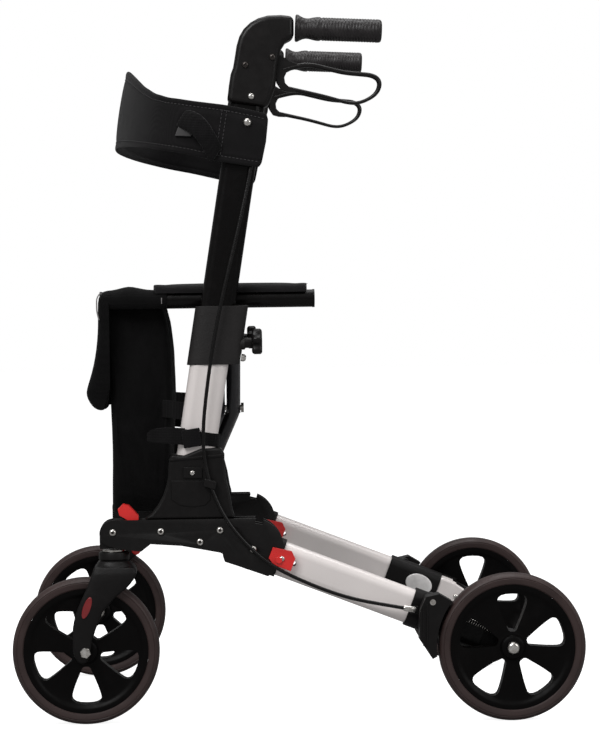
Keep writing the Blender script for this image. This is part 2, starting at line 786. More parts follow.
class ROLLATOR_OT_wheels(Operator):
    """Tyres with their grooves and shoulder lines, and rims with rounded windows"""
    bl_idname = "rollator.wheels"
    bl_label = "Wheels"

    def execute(self, context):
        profile = tyre_profile(sizes().tread_groove / MM)
        for kind, x, y in (("front", -AXLE, SIDE_Y), ("rear", AXLE, REAR_Y)):
            tyre = turned(profile, (x, -y, AXLE_Z), (0, 1, 0), 128)
            both_sides(tyre, f"{kind}_tread", f"{kind}_wheel", "tyre_rubber", "tyre",
                       [f"{kind}_tyre"])
            rim = self.rim(x, y, 54.0 if kind == "front" else 90.0)
            both_sides(rim, f"{kind}_wheel_rim", f"{kind}_wheel", "rim_black", "rim_black",
                       [f"{kind}_rim"])
            ring = turned([(12.5, -19.4), (14.2, -18.6), (14.6, -17.2), (14.6, -16.0),
                           (8.9, -16.0), (8.9, -19.4)], (x, -y, AXLE_Z), (0, 1, 0), 48)
            both_sides(ring, f"{kind}_hub_ring", f"{kind}_wheel", "rim_black", "rim_black")
        return {"FINISHED"}

    def rim(self, x, y, first):
        """A dished rim with five windows between flared spokes."""
        side = [(5.2, 18.4), (13.0, 18.4), (15.6, 16.8), (17.2, 12.6), (22.0, 11.6), (60.0, 10.6),
                (72.0, 10.8), (75.5, 12.4), (77.5, 13.9), (80.0, 14.4), (84.7, 14.3)]
        body = turned(side + [(r, -a) for r, a in reversed(side)], (x, -y, AXLE_Z), (0, 1, 0), 120)
        right = [(23.0, 5.6), (30.0, 8.6), (38.0, 12.0), (46.0, 15.2), (54.0, 18.0), (60.0, 19.8),
                 (64.0, 20.2), (67.5, 18.6), (70.2, 15.0), (71.8, 9.0)]
        shape = [(21.0, 3.0)] + right + [(72.3, 0.0)]
        shape += [(r, -w) for r, w in reversed(right)] + [(21.0, -3.0)]
        for k in range(5):
            turn = radians(first + 72.0 * k)
            points = [(x + r * cos(turn) - w * sin(turn), AXLE_Z + r * sin(turn) + w * cos(turn))
                      for r, w in shape]
            cut_away(body, block(points, y - 20.0, y + 20.0, 0), "Window")
        return round_edges(body, 1.4, 3, 40.0)


# ---- forks ----

CROWN = ((222.4, -270.5, -228.0, 22.0), (217.0, -273.5, -221.5, 24.5),
         (212.0, -276.5, -218.5, 27.5), (207.0, -278.5, -218.0, 29.0),
         (202.4, -280.0, -219.5, 29.4))
BLADE = (((-276.0, 216.0), (-219.5, 214.0)), ((-279.5, 206.0), (-218.2, 206.0)),
         ((-282.5, 197.0), (-221.8, 197.9)), ((-286.5, 187.0), (-230.5, 187.2)),
         ((-291.0, 178.0), (-243.5, 177.0)), ((-295.1, 169.3), (-254.5, 165.9)),
         ((-299.5, 159.0), (-264.0, 155.2)), ((-303.2, 148.0), (-270.0, 141.8)),
         ((-305.8, 135.0), (-275.5, 128.3)), ((-306.8, 120.0), (-279.5, 115.0)),
         ((-306.6, 106.0), (-281.3, 102.0)), ((-304.0, 94.0), (-283.0, 92.5)),
         ((-299.5, 86.5), (-287.5, 86.0)), ((-295.0, 84.4), (-292.0, 84.4)))


class ROLLATOR_OT_forks(Operator):
    """Caster forks: a bulging crown flowing into two blades, with reflectors"""
    bl_idname = "rollator.forks"
    bl_label = "Forks"

    def execute(self, context):
        rows = []
        for z, back, front, half in CROWN:
            row = []
            for k in range(24):
                a = tau * k / 24
                across, depth = squared(cos(a), 0.85), squared(sin(a), 0.7)
                row.append(((back + front) / 2 + across * (front - back) / 2,
                            -SIDE_Y + depth * half, z))
            rows.append(row)
        crown = skin(rows, closed=True, capped=True)
        depths = (6.0, 8.8, 9.6, 9.8, 9.6, 9.2, 8.8, 8.4, 8.2, 8.0, 8.0, 7.6, 6.6, 5.0)
        blades = [limb(BLADE, SIDE_Y + side * 21.2, [side * deep for deep in depths])
                  for side in (-1, 1)]
        body = moulded(1.5, 12, crown, *blades)
        cap = turned([(6.5, 6.6), (18.4, 6.6), (20.2, 5.8), (20.9, 4.2), (20.9, -3.4), (19.6, -4.6),
                      (19.4, -6.0), (21.5, -8.0), (6.5, -8.0)],
                     (CASTER_X, -SIDE_Y, 228.0), (0, 0, 1), 56)
        washer = turned([(6.5, 7.0), (15.5, 7.0), (15.5, 9.0), (6.5, 9.0)],
                        (CASTER_X, -SIDE_Y, 228.0), (0, 0, 1), 40)
        both_sides(washer, "swivel_washer", "caster", "zinc_steel", "steel")
        both_sides(joined(body, cap), "caster_fork", "caster", "pebbled_black",
                   "plastic_black", ["fork"])
        (x0, z0), tall, wide, lean = (-286.0, 161.0), 15.5, 5.2, radians(-20.0)
        ring = []
        for k in range(28):
            a, b = tall * cos(tau * k / 28), wide * sin(tau * k / 28)
            ring.append((x0 + b * cos(lean) - a * sin(lean), z0 + a * cos(lean) + b * sin(lean)))
        lens = block(ring, SIDE_Y + 26.4, SIDE_Y + 31.2, 0.9, 3)
        both_sides(lens, "fork_reflector", "caster", "reflector_red", "red")
        self.axle()
        return {"FINISHED"}

    def axle(self):
        """The front axle with a hexagonal bolt head outside and a dome nut inside."""
        at = (-AXLE, -SIDE_Y, AXLE_Z)
        spindle = turned([(0.0, -30.0), (4.9, -30.0), (4.9, 30.0), (0.0, 30.0)], at, (0, -1, 0),
                         24)
        head = turned([(0.0, 29.0), (7.6, 29.0), (7.6, 33.4), (6.9, 34.2), (0.0, 34.6)], at,
                      (0, -1, 0), 6)
        nut = turned([(0.0, -29.0), (7.4, -29.0), (7.4, -32.0), (5.6, -34.6), (2.6, -35.8),
                      (0.0, -36.0)], at, (0, -1, 0), 24)
        both_sides(joined(spindle, smooth(head, 20.0), nut), "caster_axle", "caster",
                   "zinc_steel", "steel", ["fork_hardware"])


# ---- side frames ----

def button_head(x, z, y, radius, height, outward=-1.0, socket=True):
    """A domed screw head on a side plate, with its drive socket."""
    inner = radius * 0.42
    profile = [(0.0, 0.0), (radius, 0.0), (radius * 0.97, height * 0.35),
               (radius * 0.8, height * 0.75), (radius * 0.55, height * 0.97)]
    if socket:
        profile += [(inner, height), (inner * 0.95, height * 0.35), (0.0, height * 0.35)]
    else:
        profile += [(inner, height * 1.03), (inner * 0.4, height * 1.05), (0.0, height * 1.06)]
    return turned(profile, (x, -y, z), (0, outward, 0), 28)


class ROLLATOR_OT_side_frames(Operator):
    """Plates, tower, collar, screws, latches and straps of the side frames"""
    bl_idname = "rollator.side_frames"
    bl_label = "Side frames"

    def execute(self, context):
        for side in SIDES:
            plates = from_node(f"side_plates_{side}", 0.7, 2)
            sign = -1 if side == "left" else 1
            under = block(((-112.0, 224.0), (-81.6, 213.6), (-32.3, 195.8), (-24.0, 201.0),
                           (-10.0, 190.0), (-60.0, 180.0), (-112.0, 190.0)),
                          -sign * (SIDE_Y - 40.0), -sign * (SIDE_Y + 40.0), 0)
            smooth(cut_away(plates, under, "Lower edge"))
            place(plates, f"bearing_plates_{side}", f"frame_{side}", "powder_black",
                  "plates_black", [f"side_plates_{side}"])
        self.tower()
        collar = joined(round_edges(self.sleeve(487.0, 566.6, 71.0, 31.5, 5.5, 3.2), 0.7, 2),
                        block(((-134.0, 551.0), (-120.0, 551.0), (-120.0, 563.0),
                               (-134.0, 563.0)), RAIL_Y - 11.0, SIDE_Y - 15.0, 1.0),
                        turned([(4.3, 0.0), (8.4, 0.0), (8.4, 14.0), (7.4, 15.4), (4.3, 15.4)],
                               (-82.0, -SIDE_Y, 515.0), (1, 0, 0), 32))
        both_sides(collar, "clamp_sleeve", "frame", "grained_sleeve", "plastic_black", ["collar"])
        block_body = block(((-268.0, 239.0), (-231.0, 239.0), (-231.0, 272.0), (-256.0, 272.0),
                            (-268.0, 262.0)), SIDE_Y - 15.9, SIDE_Y + 15.9, 1.2)
        both_sides(block_body, "swivel_block", "frame", "pebbled_black", "plastic_black",
                   ["caster_block"])
        self.bolts()
        lever = from_node("front_latch_left", 1.6, 3)
        disc = turned([(0, -10.5), (5.0, -10.5), (6.2, -9.3), (6.2, 9.3), (5.0, 10.5), (0, 10.5)],
                      (-219.0, -SIDE_Y, 236.5), (0, 1, 0), 32)
        both_sides(joined(lever, disc), "release_lever", "front_release", "red_plastic", "red",
                   ["front_latch"])
        self.straps()
        return {"FINISHED"}

    def bolts(self):
        """The screws through the plates, their dark drive sockets and the brace pins."""
        spots = ((-250.0, 261.5), (-185.0, 262.0), (-132.0, 247.0), (-104.6, 262.5), LEG_PIVOT)
        heads, sockets = [], []
        for x, z in spots:
            heads.append(button_head(x, z, PLATE_OUT, 5.0, 3.2))
            sockets.append(turned([(0.0, 0.4), (2.5, 0.4), (2.5, 1.5), (0.0, 1.5)],
                                  (x, -PLATE_OUT, z), (0, -1, 0), 6))
        for x, z in (spots[0], LEG_PIVOT):
            heads.append(button_head(x, z, 2 * SIDE_Y - PLATE_OUT, 5.0, 3.2, 1.0, False))
        both_sides(joined(*heads), "plate_screws", "frame", "zinc_steel", "steel")
        both_sides(joined(*sockets), "screw_sockets", "frame", "dark_steel", "steel")
        foot = (-155.0, 262.0)
        for side, stagger, sign in (("left", -11.0, -1), ("right", 11.0, 1)):
            x = foot[0] + stagger
            pin = turned([(0.0, -20.0), (3.2, -20.0), (4.6, -18.4), (4.6, -17.2), (3.9, -17.2),
                          (3.9, 17.2), (4.6, 17.2), (4.6, 18.4), (3.2, 20.0), (0.0, 20.0)],
                         (x, sign * RAIL_Y, foot[1]), (1, 0, 0), 24)
            place(pin, f"brace_pin_{side}", f"frame_{side}", "zinc_steel", "steel",
                  [f"frame_bolts_{side}"])

    def sleeve(self, low, high, wide, deep, shift, thick):
        """An oval sleeve round the upright, cut level at both ends."""
        rows = []
        for step in range(9):
            z = low + (high - low) * step / 8
            row = []
            for k in range(40):
                a = tau * k / 40
                across = shift + wide / 2 * squared(cos(a), 0.8)
                along = (z - UPRIGHT_AT[1] + across * sin(TILT)) / cos(TILT)
                row.append((on_upright(along, across)[0],
                            -SIDE_Y + deep / 2 * squared(sin(a), 0.8), z))
            rows.append(row)
        return thickened(skin(rows, closed=True), thick, -1.0)

    def tower(self):
        outline = ((-207.0, 278.6), (-84.0, 278.6), (-87.0, 290.0), (-90.5, 312.0),
                   (-95.0, 330.0), (-97.5, 350.0), (-97.0, 365.0), (-102.0, 374.5),
                   (-129.0, 373.5), (-152.0, 364.5), (-170.0, 366.0), (-173.0, 352.0),
                   (-173.5, 337.0), (-177.0, 322.0), (-182.0, 308.0), (-189.0, 296.0),
                   (-197.0, 286.0))
        shell = block(outline, SIDE_Y - 20.0, SIDE_Y + 20.0, 4.5, 4)
        panel = block(((-170.0, 331.0), (-116.5, 330.2), (-117.0, 304.0), (-124.5, 296.5),
                       (-141.0, 294.5), (-158.0, 297.0), (-169.5, 304.5)),
                      SIDE_Y + 18.0, SIDE_Y + 21.2, 1.0, 3)
        buckle = block(((-153.0, 349.0), (-127.0, 348.4), (-127.4, 333.5), (-153.4, 334.0)),
                       SIDE_Y + 18.0, SIDE_Y + 23.0, 1.2, 2)
        rib = block(((-172.0, 360.5), (-99.0, 366.0), (-99.4, 362.0), (-172.2, 356.8)),
                    SIDE_Y + 18.0, SIDE_Y + 21.4, 0.9, 2)
        foot = block(((-206.0, 250.0), (-112.0, 240.0), (-90.0, 250.0), (-90.0, 279.5),
                      (-206.0, 279.5)), SIDE_Y - 15.8, SIDE_Y + 15.8, 1.0)
        both_sides(joined(shell, panel, buckle, rib, foot), "upright_foot", "frame",
                   "pebbled_black", "plastic_black", ["tower"])
        screw = button_head(-141.0, 341.0, SIDE_Y + 23.0, 3.4, 1.8)
        both_sides(screw, "foot_screw", "frame", "zinc_steel", "steel")

    def straps(self):
        """The folding strap round each upright, with its tail and buckle."""
        at = (STRAP_Z - UPRIGHT_AT[1]) / cos(TILT)
        rows = [oval(54.5, 28.5, at + step, SIDE_Y) for step in (-9.0, 0.0, 9.0)]
        loop = round_edges(thickened(skin(rows, closed=True), 1.8, 1.0), 0.4, 2)
        ends = ((-150.0, -15.6, 378.5, 401.5), (-163.0, -17.0, 380.0, 402.5),
                (-176.0, -18.0, 381.5, 403.0), (-188.0, -17.5, 382.5, 402.0),
                (-196.0, -16.5, 383.5, 400.0), (-201.5, -15.5, 385.0, 395.5))
        tail = skin([[(x, -SIDE_Y + y, z0 + (z1 - z0) * k / 4) for k in range(5)]
                     for x, y, z0, z1 in ends])
        tail = round_edges(thickened(tail, 2.2, 0.0), 0.4, 2)
        buckle = block(((-152.0, 374.0), (-128.0, 377.5), (-130.5, 402.0), (-155.0, 398.5)),
                       SIDE_Y + 14.0, SIDE_Y + 19.5, 1.4, 3)
        both_sides(joined(loop, tail, buckle), "folding_strap", "frame", "webbing",
                   "plastic_black")


# ---- legs ----

class ROLLATOR_OT_legs(Operator):
    """Leg mouldings, latches, brake housings and their springs"""
    bl_idname = "rollator.legs"
    bl_label = "Legs"

    def execute(self, context):
        latch = from_node("leg_latch_left", 1.3, 3)
        both_sides(latch, "leg_release", "leg_release", "red_plastic", "red", ["leg_latch"])
        stud = button_head(*on_leg(41.0, 1.5), PLATE_OUT + 4.0, 4.0, 2.4)
        both_sides(stud, "release_screw", "leg_release", "zinc_steel", "steel")
        hub = from_node("leg_hub_left", 0.8, 2)
        both_sides(hub, "leg_hinge", "rear_leg", "pebbled_black", "plastic_black", ["leg_hub"])
        housing = from_node("brake_housing_left", 1.4, 3)
        self.opened(housing)
        ribs = []
        for along in (246.0, 258.0, 270.0, 282.0, 294.0):
            half = 24.0 - (along - 246.0) * 0.05
            ribs.append(block((on_leg(along, half), on_leg(along + 3.2, half),
                               on_leg(along + 3.2, -half), on_leg(along, -half)),
                              SIDE_Y + 12.0, SIDE_Y + 17.6, 0.7, 2))
        long_rib = block((on_leg(236.0, 3.0), on_leg(300.0, 2.0), on_leg(300.0, -2.0),
                          on_leg(236.0, -3.0)), SIDE_Y + 12.0, SIDE_Y + 18.4, 0.9, 2)
        both_sides(joined(housing, *ribs, long_rib), "brake_body", "rear_leg",
                   "pebbled_black", "plastic_black", ["brake_housing"])
        arm = from_node("brake_arm_left", 1.5, 3)
        ribs = [block(((a, 104.0), (a + 2.4, 104.0), (a + 2.4, 160.0),
                       (a, 160.0)), REAR_Y + 14.0, REAR_Y + 16.4, 0.8, 2) for a in (167.0, 172.0)]
        arm = joined(arm, *ribs)
        both_sides(arm, "brake_shoe_arm", "brake_shoe", "pebbled_black", "plastic_black",
                   ["brake_arm"])
        self.button()
        self.leg_end()
        self.spring()
        return {"FINISHED"}

    def opened(self, housing):
        """Cuts the inner half away below the band, so that the tube shows there."""
        low, high = LEG_LEN - 64.0, LEG_LEN - 39.5
        cutter = block([on_leg(low, 40.0), on_leg(high, 40.0), on_leg(high, -40.0),
                        on_leg(low, -40.0)], SIDE_Y - 30.0, SIDE_Y, 0)
        cut_away(housing, cutter, "Open side")
        return smooth(housing, 40.0)

    def button(self):
        """The silver button on the inner side of the housing."""
        ring = turned_oval(on_leg(280.5, 0.0), 21.0, 15.0, LEG_DROP, 36)
        disc = block(ring, SIDE_Y - 18.4, SIDE_Y - 14.5, 1.4, 3)
        both_sides(disc, "leg_button", "rear_leg", "silver_plastic", "steel")

    def leg_end(self):
        """The tube's tapered end, seen on the inner side between the band and the axle."""
        tip = block([on_leg(LEG_LEN - 66.0, 22.5), on_leg(LEG_LEN - 40.0, 22.0),
                     on_leg(LEG_LEN - 22.0, 18.0), on_leg(LEG_LEN - 18.0, 0.0),
                     on_leg(LEG_LEN - 22.0, -18.0), on_leg(LEG_LEN - 40.0, -22.0),
                     on_leg(LEG_LEN - 66.0, -22.5)], SIDE_Y - 14.4, SIDE_Y - 4.0, 5.0, 4)
        both_sides(tip, "leg_end", "rear_leg", "pearl_paint", "tube_pearl")
        x, z = on_leg(LEG_LEN - 33.0, 1.0)
        rivet = button_head(x, z, SIDE_Y - 14.4, 4.2, 2.2, 1.0, False)
        both_sides(rivet, "leg_end_rivet", "rear_leg", "zinc_steel", "steel")

    def spring(self):
        """The return spring between the housing and the wheel."""
        start, end, turns = Vector((222.0, 0.0, 138.0)), Vector((268.0, 0.0, 118.0)), 15
        along = end - start
        side = Vector((-along.z, 0.0, along.x)).normalized()
        points = []
        for k in range(turns * 8 + 1):
            a = tau * k / 8
            spot = start + along * (k / (turns * 8)) + side * 4.0 * cos(a)
            points.append((spot.x, -(SIDE_Y + 16.0) + 1.0 + 2.6 * sin(a), spot.z))
        coil = rod(points, 0.75, order=3, fine=2)
        both_sides(coil, "return_spring", "rear_leg", "zinc_steel", "steel")


# ---- handles ----

class ROLLATOR_OT_handles(Operator):
    """Elbows, grips, brake levers and height knobs"""
    bl_idname = "rollator.handles"
    bl_label = "Handles"

    def execute(self, context):
        self.elbow()
        self.grips()
        self.levers()
        self.knob()
        heads = [button_head(x, z, SIDE_Y + 17.0, 4.6, 3.2, socket=s) for x, z, s in (
            (-24.7, 902.0, True), (-61.6, 892.0, True), (-54.2, 849.5, False))]
        heads.append(button_head(-60.0, 814.0, SIDE_Y + 25.4, 5.8, 4.4, socket=False))
        dark, bright = heads[:2], heads[2:]
        inner = [button_head(x, z, SIDE_Y - 17.0, 4.8, 3.0, 1.0, False) for x, z in (
            (-24.7, 902.0), (-61.6, 892.0), (-54.2, 849.5))]
        both_sides(joined(*bright, *inner), "handle_domes", "handle", "zinc_steel", "steel",
                   ["handle_bolts"])
        both_sides(joined(*dark), "handle_screws", "handle", "dark_steel", "steel")
        return {"FINISHED"}

    def elbow(self):
        outline = ((-87.0, 842.0), (-60.0, 838.0), (-33.0, 833.5), (-27.0, 846.0),
                   (-21.0, 863.0), (-18.0, 888.0), (-13.5, 912.0), (-7.0, 922.0), (5.0, 928.0),
                   (5.0, 957.5), (-12.0, 959.5), (-30.0, 959.0), (-43.0, 955.5), (-54.0, 949.5),
                   (-63.0, 941.0), (-69.0, 931.0), (-73.0, 918.0), (-76.0, 900.0),
                   (-78.0, 889.0), (-81.5, 880.0), (-84.0, 865.0))
        shell = block(outline, SIDE_Y - 17.0, SIDE_Y + 17.0, 7.0, 5)
        choose()
        bpy.ops.mesh.primitive_cube_add(size=1.0, location=(-0.006, -SIDE_Y * MM, 0.883))
        slot = bpy.context.object
        slot.dimensions = (0.052, 0.0108, 0.078)
        choose(slot)
        bpy.ops.object.transform_apply()
        cut_away(shell, slot, "Lever slot")
        smooth(shell, 35.0)
        both_sides(shell, "handle_elbow", "handle", "satin_black", "plastic_gloss",
                   ["handle_bracket"])

    def grips(self):
        """A soft grip with a flared guard, finger swells and a capped end."""
        profile = [(0.0, 1.0), (11.0, 1.0), (17.2, 1.2), (18.6, 2.4), (18.4, 4.6), (16.4, 8.0),
                   (14.6, 12.0), (13.8, 16.0), (14.0, 20.0), (15.2, 25.0), (16.1, 30.0),
                   (16.2, 34.5), (15.2, 36.2), (15.1, 37.4), (15.8, 39.0)]
        along = 39.0
        while along < 110.0:
            profile += [(15.75, along + 1.2), (15.35, along + 2.0), (15.35, along + 2.6),
                        (15.75, along + 3.4)]
            along += 3.8
        profile += [(15.8, 113.0), (15.4, 116.4), (13.8, 118.2), (11.0, 118.9), (5.0, 119.0),
                    (0.0, 119.0)]
        tilt = radians(-2.6)
        grip = turned(profile, (6.0, -SIDE_Y, 942.5), (cos(tilt), 0, sin(tilt)), 64)
        both_sides(grip, "hand_grip", "handle", "soft_grip", "grip", ["grip"])

    def levers(self):
        """A closed loop of flattened rod on a plate that pivots in the elbow."""
        points = [(-10.0, 886.0), (6.0, 890.5), (27.0, 893.0), (50.0, 887.0), (74.0, 881.0),
                  (96.0, 879.0), (110.0, 877.5), (119.0, 872.5), (121.5, 864.0), (117.0, 853.0),
                  (106.0, 845.0), (92.0, 839.8), (78.0, 840.0), (58.0, 846.0), (40.0, 851.0),
                  (18.0, 856.0), (0.0, 860.0), (-10.0, 862.0)]
        widths = [1.2, 1.2, 1.1, 1.05, 1.05, 1.05, 1.1, 1.15, 1.1, 0.95, 0.8, 0.8, 0.8, 0.85,
                  0.85, 0.9, 1.0, 1.1]
        loop = rod([(x, 0.0, z) for x, z in points], 3.0, widths, 3, 6)
        for vertex in loop.data.vertices:
            vertex.co.y = vertex.co.y * 1.5 - SIDE_Y * MM
        plate = block(((-33.0, 908.0), (-26.0, 911.0), (-19.0, 910.0), (-10.0, 904.0),
                       (0.0, 897.5), (9.0, 894.5), (10.5, 890.0), (2.0, 888.0), (-5.0, 883.0),
                       (-8.5, 876.0), (-7.5, 868.0), (-2.0, 862.5), (8.0, 860.0), (7.0, 855.5),
                       (-4.0, 856.0), (-13.0, 858.5), (-19.0, 868.0), (-24.0, 884.0)),
                      SIDE_Y - 4.6, SIDE_Y + 4.6, 1.2, 3)
        both_sides(joined(loop, plate), "squeeze_lever", "lever", "lever_black",
                   "lever_black", ["brake_lever"])

    def knob(self):
        """A lobed knob on its screw."""
        centre = node_centre("height_knob_left") / MM
        tip, z = (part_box("height_knob_left")[1] / MM).x, centre.z
        rows = []
        for x, grow in ((tip - 14.0, 0.80), (tip - 13.0, 0.92), (tip - 11.0, 1.0),
                        (tip - 3.0, 1.0), (tip - 1.0, 0.93), (tip - 0.2, 0.8), (tip, 0.3)):
            row = []
            for k in range(60):
                a = tau * k / 60
                radius = (15.4 + 3.4 * cos(5 * a)) * grow
                row.append((x, -SIDE_Y + radius * sin(a), z + radius * cos(a)))
            rows.append(row)
        head = skin(rows, closed=True, capped=True)
        neck = turned([(0, -24.0), (7.5, -24.0), (7.5, -20.0), (6.6, -13.0), (0, -13.0)],
                      (tip, -SIDE_Y, z), (1, 0, 0), 32)
        both_sides(joined(smooth(head, 50.0), neck), "clamp_knob", "knob", "satin_black",
                   "plastic_black", ["height_knob"])
        stem = turned([(0, -37.5), (4.0, -37.5), (4.0, -20.0), (0, -20.0)],
                      (tip, -SIDE_Y, z), (1, 0, 0), 32)
        both_sides(stem, "knob_screw", "knob", "zinc_steel", "steel")
        nut = turned([(0, 0), (5.0, 0), (5.0, 4.0), (3.4, 6.4), (0, 6.8)],
                     (-72.5, -SIDE_Y, 496.0), (1, 0, -0.16), 24)
        both_sides(nut, "collar_nut", "frame", "zinc_steel", "steel")


# ---- cables ----

UPPER_ROUTE = ((-46.0, 259.3, 836.0), (-49.0, 259.3, 800.0), (-56.0, 260.5, 752.0),
               (-72.0, 268.0, 680.0), (-90.0, 273.0, 608.0), (-107.0, 273.5, 535.0),
               (-119.0, 273.5, 462.0), (-126.5, 273.5, 396.0), (-124.0, 273.5, 352.0),
               (-117.0, 273.5, 326.0))
LOWER_ROUTE = ((-117.0, 273.5, 326.0), (-108.0, 273.5, 300.0), (-90.0, 273.5, 268.0),
               (-62.0, 273.5, 236.0), (-36.0, 273.5, 215.0), (-12.0, 273.5, 201.0),
               (30.0, 273.5, 182.0), (70.0, 273.5, 168.0), (110.0, 273.5, 159.5),
               (154.0, 273.5, 151.5))


class ROLLATOR_OT_cables(Operator):
    """Brake cables from the handles to the brake housings, with their clips"""
    bl_idname = "rollator.cables"
    bl_label = "Brake cables"

    def execute(self, context):
        radius = sizes().cable / 2 / MM
        for name, route, ends, start, stop in (
                ("upper_cable", UPPER_ROUTE, ("handle", "frame"), 0.80, 0.42),
                ("lower_cable", LOWER_ROUTE, ("frame", "rear_leg"), None, None)):
            line = rod([(x, -y, z) for x, y, z in route], radius, fine=8)
            pair = both_sides(line, name, None, "cable_sheath", "cable",
                              ["brake_cable"] if name == "upper_cable" else ())
            for cable, side, sign in zip(pair, SIDES, (-1, 1)):
                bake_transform(cable)
        clip = block(((-124.0, 334.0), (-108.0, 329.0), (-110.5, 318.0), (-126.5, 323.0)),
                     SIDE_Y + 19.0, SIDE_Y + 32.0, 1.6, 3)
        both_sides(clip, "cable_clip", "frame", "satin_black", "plastic_black")
        ferrule = turned([(2.0, 0.0), (3.6, 0.0), (4.2, 2.0), (4.2, 15.0), (3.2, 17.0),
                          (2.0, 17.0)], (143.0, -273.5, 153.5), (1.0, 0, -0.17), 24)
        both_sides(ferrule, "cable_end", "rear_leg", "zinc_steel", "steel")
        return {"FINISHED"}


# ---- seat ----


class ROLLATOR_OT_seat(Operator):
    """The seat sling between its rails, hemmed, stitched and dipping in the middle"""
    bl_idname = "rollator.seat"
    bl_label = "Seat"

    def execute(self, context):
        low, high = (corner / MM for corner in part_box("seat_fabric"))
        dip = sizes().seat_dip / MM
        edge = RAIL_Y + CLOTH_EDGE
        top = RAIL.z + 12.3
        across = [-edge - 1.2, -edge, -edge + 2.5, -edge + 7, -RAIL_Y, -RAIL_Y + 14, -180, -150,
                  -120, -90, -60, -30, 0]
        across += [-y for y in reversed(across[:-1])]
        steps = 34
        rows = []
        for j in range(steps + 1):
            x = low.x + 0.8 + (high.x - low.x - 1.6) * j / steps
            u = j / steps
            hem = 1.6 if u < 0.07 or u > 0.93 else 0.0
            row, under = [], []
            for y in across:
                v = min(1.0, abs(y) / (RAIL_Y - 6.0))
                sag = dip * (1.0 - v * v) ** 1.4 * (0.55 + 0.45 * sin(pi * u))
                wrap = 6.0 if abs(y) > edge else 4.0 if abs(y) > edge - 1 else (
                    1.4 if abs(y) > edge - 4 else 0.0)
                ripple = 0.5 * wavy(y / 34.0, x / 40.0, 0.4) * (1.0 - v ** 4)
                z = top + 8.2 + hem * 0.5 - sag - wrap + ripple
                thick = 6.6 + hem * 0.5
                row.append((x, y, z))
                under.append((x, y, z - thick))
            rows.append(row + list(reversed(under)))
        sling = skin(rows, closed=True, capped=True)
        pinned = [v.index for v in sling.data.vertices
                  if abs(v.co.y) > (RAIL_Y - 8.0) * MM or v.co.x < (low.x + 12) * MM
                  or v.co.x > (high.x - 12) * MM]
        swollen(sling, pinned, 2.5, 12)
        subdivided(sling, 1)
        place(sling, "seat_sling", "seat", "seat_cloth", "fabric", ["seat_fabric"])
        seams = []
        for x in (low.x + 12.5, low.x + 15.5, high.x - 12.5, high.x - 15.5):
            seams.append(self.row(x, top + 8.3, dip))
        for sign in (-1, 1):
            for inset in (11.0, 14.5):
                y = sign * (RAIL_Y - inset)
                seams.append(stitches([(low.x + 4 + (high.x - low.x - 8) * k / 12, y,
                                        top + 7.9) for k in range(13)], 0.4))
        thread = place(joined(*seams), "seat_stitching", "seat", "thread_grey", "fabric")
        for piece in (sling, thread):
            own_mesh(piece)
        return {"FINISHED"}

    def row(self, x, z, dip):
        points = []
        for k in range(41):
            y = -RAIL_Y + 10 + (2 * RAIL_Y - 20) * k / 40
            v = min(1.0, abs(y) / (RAIL_Y - 6.0))
            points.append((x, y, z + 0.2 - dip * (1.0 - v * v) ** 1.4 * 0.62))
        return stitches(points, 0.4)


# ---- bag ----

